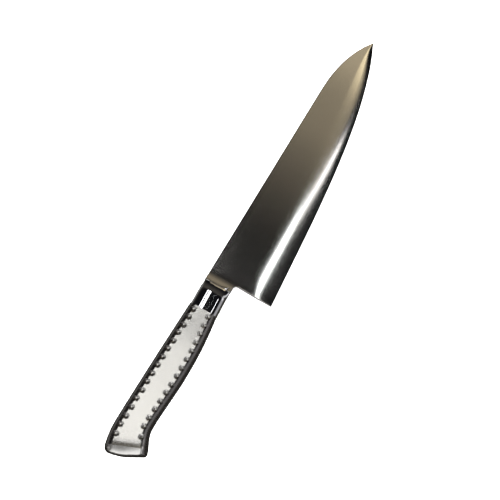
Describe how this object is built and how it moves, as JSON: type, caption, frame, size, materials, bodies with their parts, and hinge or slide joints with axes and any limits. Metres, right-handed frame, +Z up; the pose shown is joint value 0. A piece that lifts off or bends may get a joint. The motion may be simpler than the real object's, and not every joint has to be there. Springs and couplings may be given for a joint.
{
  "type": "chef knife",
  "caption": "All-steel chef's knife: wide ground blade, polished bolster and a hollow grip with rows of pressed dimples.",
  "frame": {"origin": "middle of the underside of the knife's box, with the knife lying on its side", "axes": "+X along the knife to the blade's tip, +Y from the edge to the spine, +Z up, square to the blade's sides"},
  "size_m": [0.3394, 0.0488, 0.016],
  "materials": {
    "satin_steel": "satin grind across the blade",
    "polished_steel": "mirror polish",
    "blasted_steel": "bead-blasted matt",
    "weld_steel": "ground flush and matt"
  },
  "bodies": {
    "root": {"blade": "satin_steel", "bolster": "polished_steel", "handle_shell_left": "blasted_steel", "handle_shell_right": "blasted_steel", "butt_cap": "blasted_steel", "spine_seam_weld": "weld_steel", "belly_seam_weld": "weld_steel", "bolster_ring_weld": "weld_steel", "cap_ring_weld": "weld_steel", "tang_weld": "weld_steel"}
  },
  "joints": []
}
